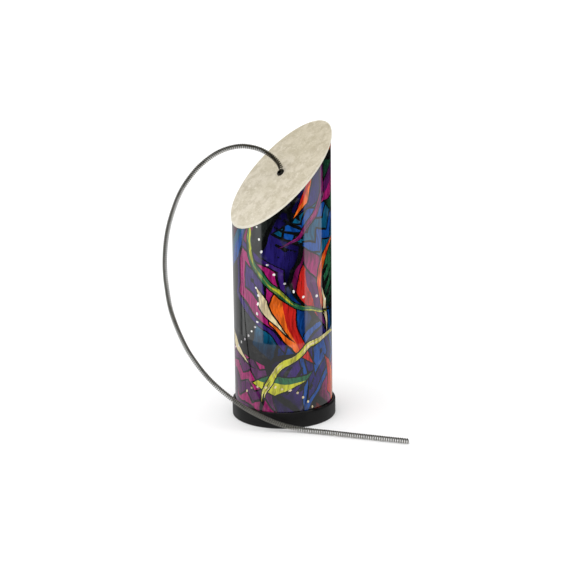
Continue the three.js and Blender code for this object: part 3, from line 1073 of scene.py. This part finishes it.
LAYOUT = [
    ("kites", (13.0, 15.4), 24, (3.4, 4.6), PURPLE, MAGENTA),
    ("kites", (20.4, 8.0), -18, (3.0, 4.2), BLUE, INDIGO),
    ("kites", (28.6, 18.0), 12, (3.2, 4.4), RED, PLUM),
    ("kites", (4.4, 8.0), -24, (3.0, 4.0), PURPLE, BLUE),
    ("zigzag", (20.2, 20.6), 32, (2.8, 2.5), TEAL, BLUE),
    ("zigzag", (12.0, 4.6), -14, (2.7, 2.3), MAGENTA, PLUM),
    ("zigzag", (29.0, 7.0), 20, (3.2, 2.6), GREEN, TEAL),
    ("zigzag", (3.4, 17.0), -25, (3.0, 2.6), GREEN, TEAL),
    ("hatch", (16.8, 20.4), 60, (2.4, 1.8), INK, INK),
    ("hatch", (17.0, 5.4), -30, (2.6, 1.7), INK, INK),
    ("hatch", (10.4, 10.6), 25, (2.2, 1.5), INK, INK),
    ("hatch", (22.4, 14.6), -50, (2.8, 1.8), INK, INK),
    ("hatch", (25.8, 12.0), 35, (2.4, 1.6), INK, INK),
    ("hatch", (7.0, 13.0), 50, (2.4, 1.6), INK, INK),
    ("hatch", (25.0, 25.0), 20, (2.6, 1.8), INK, INK),
    ("shard", (16.6, 10.4), -62, (4.4, 1.5), ORANGE, RED),
    ("shard", (19.0, 13.6), -68, (3.8, 1.1), RED, PLUM),
    ("shard", (10.6, 19.2), 62, (3.4, 1.0), BLUE, TEAL),
    ("shard", (22.6, 25.2), 48, (3.6, 1.2), MAGENTA, PLUM),
    ("shard", (16.0, 4.6), 12, (3.2, 1.1), LIME, GREEN),
    ("shard", (22.4, 4.4), 104, (3.0, 1.0), ORANGE, RED),
    ("shard", (14.6, 12.2), -58, (2.6, 0.45), CREAM, CREAM),
    ("shard", (20.8, 11.8), -74, (2.4, 0.40), CREAM, CREAM),
    ("shard", (10.0, 7.8), -40, (2.4, 0.42), CREAM, CREAM),
    ("shard", (18.6, 24.4), 70, (2.6, 0.45), ORANGE, RED),
    ("shard", (30.4, 12.4), 64, (4.0, 1.3), LIME, GREEN),
    ("shard", (27.0, 3.6), -20, (3.8, 1.2), ORANGE, RED),
    ("shard", (1.8, 11.4), 70, (3.8, 1.2), ORANGE, RED),
    ("shard", (7.0, 4.4), -62, (3.2, 1.0), MAGENTA, PLUM),
    ("shard", (28.0, 26.4), -40, (3.6, 1.1), BLUE, TEAL),
    ("shard", (6.0, 19.6), 130, (3.4, 0.9), CREAM, ORANGE),
    ("sweep", (22.5, 22.0), 218, (10.4, 10.4), LIME, GREEN),
    ("sweep", (22.0, 1.0), 128, (8.4, 8.4), CREAM, LIME),
    ("sweep", (25.6, 14.2), 158, (5.6, 5.6), ORANGE, RED),
    ("sweep", (13.4, 26.0), -20, (7.4, 7.4), MAGENTA, PLUM),
    ("sweep", (34.0, 20.0), 190, (7.0, 7.0), LIME, CREAM),
    ("sweep", (-2.0, 12.0), 10, (7.4, 7.4), CREAM, LIME),
    ("dots", (22.5, 22.0), 206, (9.2, 9.2), WHITE, INK),
    ("dots", (8.0, 13.0), -38, (5.6, 5.6), WHITE, INK),
    ("dots", (14.6, -1.6), 66, (5.8, 5.8), CREAM, INK),
    ("dots", (28.2, 21.4), 210, (4.2, 4.2), WHITE, INK),
]
LINE_WIDTH = 0.16
SWEEP_WIDTH = 0.30
DOT_RADIUS = 0.13
THICKNESSES = {"sweep": SWEEP_WIDTH, "dots": DOT_RADIUS}
print(len(LAYOUT), "motifs on the film")

# %% [markdown]
# ## Print: ground and brush marks
# Under the motifs lie slanted patches with inked joints of uneven width: Voronoi cells, stretched
# and turned. Before anything is drawn the flat map itself is bent a little by two noises, so every
# edge wavers like a brush line. Streaks along the brush then make the paint uneven. The film
# over it all is a clear glossy coat.

# %% Printed film finish
PATCHES = [
    (0.00, INDIGO), (0.11, MAGENTA), (0.20, PURPLE), (0.31, BLUE), (0.41, SOOT), (0.48, PLUM),
    (0.56, GREEN), (0.63, INK), (0.70, RED), (0.77, PURPLE), (0.85, TEAL), (0.92, ORANGE),
]
PATCH_TURN = (0, 0, math.radians(52))
BRUSH_TURN = (0, 0, math.radians(38))
METRES_TO_CENTIMETRES = (100, 100, 0)

gloss, inputs, place = new_finish(
    "glossy_printed_film", Specular_IOR_Level=0.0, Coat_Weight=0.95, Coat_Roughness=0.03, Coat_IOR=1.8,
)
flat = add_node("UVMap", {}, uv_map="flat_print").outputs[0]
flat = vector("MULTIPLY", flat, METRES_TO_CENTIMETRES)
for scale, detail, sway in ((0.26, 1, 1.6), (2.2, 2, 0.12)):
    wobble = add_node("TexNoise", {"Vector": flat, "Scale": scale, "Detail": detail})
    shift = vector("SUBTRACT", wobble.outputs["Color"], (0.5, 0.5, 0.5))
    flat = vector("ADD", flat, vector("MULTIPLY", shift, (sway, sway, 0)))

patch_place = stretch(flat, (0.27, 0.17, 1), PATCH_TURN)
patch_inputs = {"Vector": patch_place, "Scale": 1.0, "Randomness": 0.9}
cells = add_node("TexVoronoi", patch_inputs, voronoi_dimensions="2D")
joints = add_node("TexVoronoi", patch_inputs, voronoi_dimensions="2D", feature="DISTANCE_TO_EDGE")
draws = add_node("SeparateColor", {0: cells.outputs["Color"]}).outputs
colour = ramp(draws[0], PATCHES)
deep = mix(1.0, colour, paint(118, 110, 132), "MULTIPLY")
colour = mix(soft_step(cells.outputs["Distance"], 0.15, 0.65), colour, deep)
joint_width = calc("MULTIPLY_ADD", noise(flat, 0.5, detail=1), 0.16, -0.02)
colour = mix(under(joints.outputs["Distance"], joint_width), colour, INK)
print("patchwork ground laid")

# %% Motifs over the ground, then brush marks and gloss
for kind, centre, turn, size, first, second in LAYOUT:
    thickness = THICKNESSES.get(kind, LINE_WIDTH)
    values = {
        "Below": colour, "Place": flat, "Centre": (*centre, 0), "Turn": (0, 0, math.radians(turn)),
        "Size": (*size, 1), "Line": thickness / min(size), "First": first, "Second": second,
    }
    colour = add_node("Group", values, node_tree=motif_groups[kind]).outputs["Colour"]

streaks = noise(stretch(flat, (3.4, 0.5, 1), BRUSH_TURN), 1.0, detail=4, roughness=0.6)
washes = noise(flat, 0.7, detail=3)
dark = mix(1.0, colour, paint(178, 174, 184), "MULTIPLY")
colour = mix(soft_step(streaks, 0.60, 0.36), colour, dark)
pale = mix(0.12, colour, WHITE, "SCREEN")
colour = mix(both(soft_step(washes, 0.55, 0.8), 0.4), colour, pale)
ripple = noise(place, 60, detail=2)
peel = noise(place, 900, detail=2)
waviness = calc("MULTIPLY_ADD", ripple, 6.0, peel)
dress(inputs, colour, spread(washes, 0.3, 0.7, 0.3, 0.45), waviness, 0.012 * MM, 0.6)
finish_piece(print_film, gloss, "printed_wrap", "drum")

# %% [markdown]
# ## Studio
# The drum stands on a white sweep in soft, even light. What the light does to matt surfaces and what
# shows in glossy ones are set apart here, as a photographer does with boards and flags. Matt surfaces
# see a bright room and a broad sun. Mirror reflections see a dark room with two low, bright boards,
# left and right, which make the upright bands on the film, pale walls behind, wider on the left, which
# light its edges, a soft light overhead in front, a fill from the lower right, and a round white card
# of table under the drum, which brightens its foot and the spring's underside.

# %% Floor and card
FLOOR_SIZE = 14
FLOOR_GREY = (0.94, 0.94, 0.94, 1)
FLOOR_GLOW = 0.06
CARD_RADIUS = 0.33
CARD_LIFT = 0.2 * MM
CARD_GLOW = 0.5
NO_COLOUR = (0, 0, 0, 1)
FULL_WHITE = (1, 1, 1, 1)

fresh_start()
bpy.ops.mesh.primitive_plane_add(size=FLOOR_SIZE, location=(0, 0, 0))
floor = named("white_sweep")
sweep = new_finish(
    "white_sweep_paper", Roughness=0.9, Specular_IOR_Level=0.0, Base_Color=FLOOR_GREY,
    Emission_Color=FULL_WHITE, Emission_Strength=FLOOR_GLOW,
)[0]
floor.data.materials.append(sweep)
floor.visible_glossy = False

fresh_start()
bpy.ops.mesh.primitive_circle_add(
    vertices=96, radius=CARD_RADIUS, fill_type="NGON", location=(0, 0, CARD_LIFT),
)
card = named("table_card")
glow = new_finish(
    "table_glow", Base_Color=NO_COLOUR, Emission_Color=FULL_WHITE, Emission_Strength=CARD_GLOW,
)[0]
card.data.materials.append(glow)
card.visible_camera = False
card.visible_diffuse = False
card.visible_shadow = False
print("floor and card placed")

# %% Sun
SUN_STRENGTH = 0.9
SUN_SPREAD = math.radians(70)
SUN_AHEAD = 0.5
SUN_LEFT = 0.35

fresh_start()
bpy.ops.object.light_add(type="SUN", location=(0, 0, 2))
sun = named("broad_sun")
sun.data.energy = SUN_STRENGTH
sun.data.angle = SUN_SPREAD
to_camera = Vector((math.sin(CAMERA_AZIMUTH), -math.cos(CAMERA_AZIMUTH), 0))
to_right = Vector((math.cos(CAMERA_AZIMUTH), math.sin(CAMERA_AZIMUTH), 0))
sun_from = to_camera * SUN_AHEAD - to_right * SUN_LEFT + Vector((0, 0, 1))
sun.rotation_euler = sun_from.to_track_quat("Z", "Y").to_euler()
sun.visible_glossy = False
print("sun from", tuple(round(value, 2) for value in sun_from.normalized()))

# %% Room: what matt surfaces see, and what mirror reflections see
ROOM_LIGHT = 0.95
ROOM_MIRRORED = 0.01
CEILING_MIRRORED = 0.45
WALLS = ((-1, 104, 128, 0.65), (1, 158, 168, 0.45))
BOARDS = ((-79, 31, 1.0), (79, 26, 1.15))
BOARD_TOP = math.radians(-10.5)
BOARD_FOOT = math.radians(-22.5)
BOARD_EDGE = math.radians(2.5)
FILL_MIRRORED = 1.2
FILL_TURN = math.radians(40)
CEILING_FRONT = (0.15, 0.5)
CEILING_HEIGHT = (0.3, 0.6)

world = bpy.data.worlds.new("studio_room")
world.use_nodes = True
tree = world.node_tree
backdrop = tree.nodes["Background"]
towards = add_node("TexCoord", {}).outputs["Generated"]
ahead = vector("DOT_PRODUCT", towards, to_camera)
aside = vector("DOT_PRODUCT", towards, to_right)
bearing = calc("ARCTAN2", aside, ahead)
height = axes_of(towards)[2]


def below(angle):
    return soft_step(height, math.sin(angle + BOARD_EDGE), math.sin(angle - BOARD_EDGE))


below_foot = below(BOARD_FOOT)
level = calc("SUBTRACT", below(BOARD_TOP), below_foot)
front = soft_step(ahead, *CEILING_FRONT)
overhead = both(soft_step(height, *CEILING_HEIGHT), front)
mirrored = spread(overhead, 0, 1, ROOM_MIRRORED, CEILING_MIRRORED)
for side, start_angle, full_angle, radiance in WALLS:
    turned = both(bearing, side)
    behind = soft_step(turned, math.radians(start_angle), math.radians(full_angle))
    mirrored = calc("MULTIPLY_ADD", behind, radiance, mirrored)
for middle_angle, half_angle, radiance in BOARDS:
    apart = calc("ABSOLUTE", calc("SUBTRACT", bearing, math.radians(middle_angle)))
    rim = math.radians(half_angle)
    board = both(soft_step(apart, rim + BOARD_EDGE, rim - BOARD_EDGE), level)
    mirrored = calc("MULTIPLY_ADD", board, radiance, mirrored)
fill = both(soft_step(bearing, 0, FILL_TURN), below_foot)
mirrored = calc("MULTIPLY_ADD", fill, FILL_MIRRORED, mirrored)
rays = add_node("LightPath", {}).outputs
strength = spread(rays["Is Glossy Ray"], 0, 1, ROOM_LIGHT, mirrored)
strength = spread(rays["Is Camera Ray"], 0, 1, strength, 1.0)
plug(backdrop.inputs["Strength"], strength)
backdrop.inputs["Color"].default_value = FULL_WHITE
world.cycles.sampling_method = "NONE"
bpy.context.scene.world = world
bpy.context.scene.view_settings.view_transform = "Standard"
print("room light", ROOM_LIGHT, "with", len(BOARDS), "boards in reflections")
